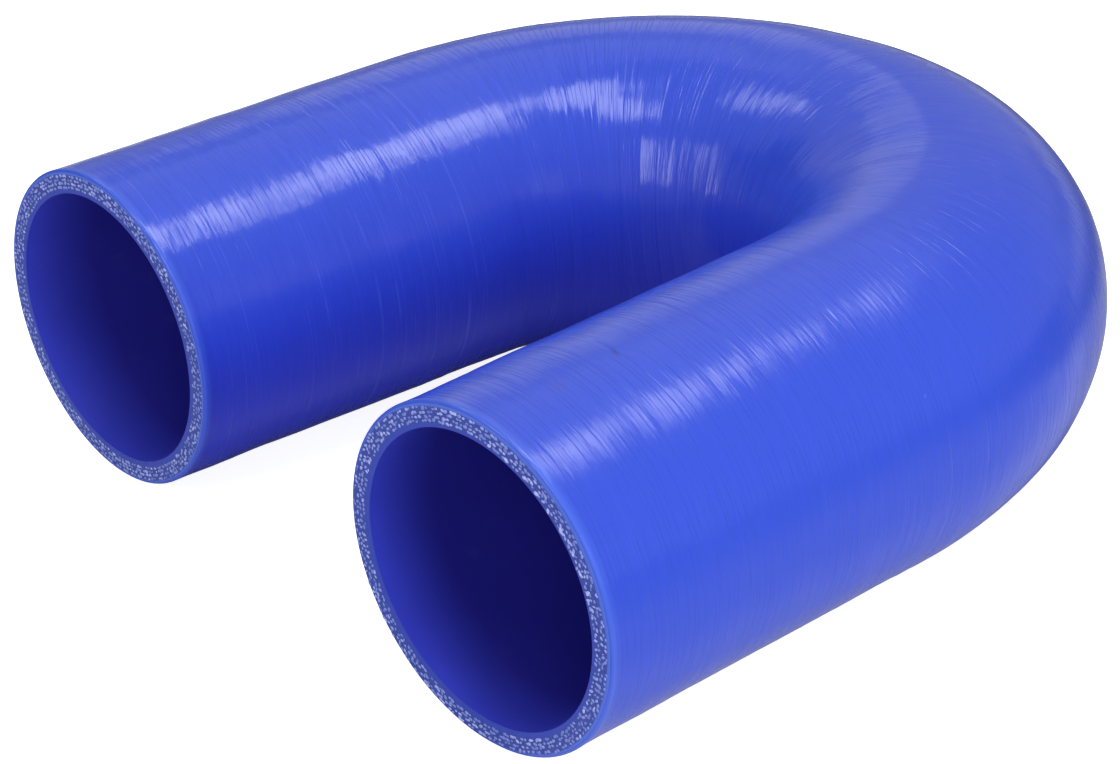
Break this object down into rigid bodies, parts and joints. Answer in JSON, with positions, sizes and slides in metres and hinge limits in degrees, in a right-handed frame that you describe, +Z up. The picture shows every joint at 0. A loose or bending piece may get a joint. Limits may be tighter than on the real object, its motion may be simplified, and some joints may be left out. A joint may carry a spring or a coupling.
{
  "type": "silicone u-bend hose",
  "caption": "Thick fabric-reinforced silicone hose moulded as a U: a tight round bend joins straight open legs that slip over pipe stubs and are clamped.",
  "frame": {"origin": "on the plane that the hose lies on, under the middle of its bounding box", "axes": "+Z up, out of the plane of the U; the open ends of the legs face -Y and the bend is at +Y; the shorter leg is at -X and the longer leg at +X"},
  "size_m": [0.2016, 0.184, 0.067],
  "materials": {
    "silicone": "gloss",
    "yarn": "matte"
  },
  "bodies": {
    "root": {"hose": "silicone"}
  },
  "joints": []
}
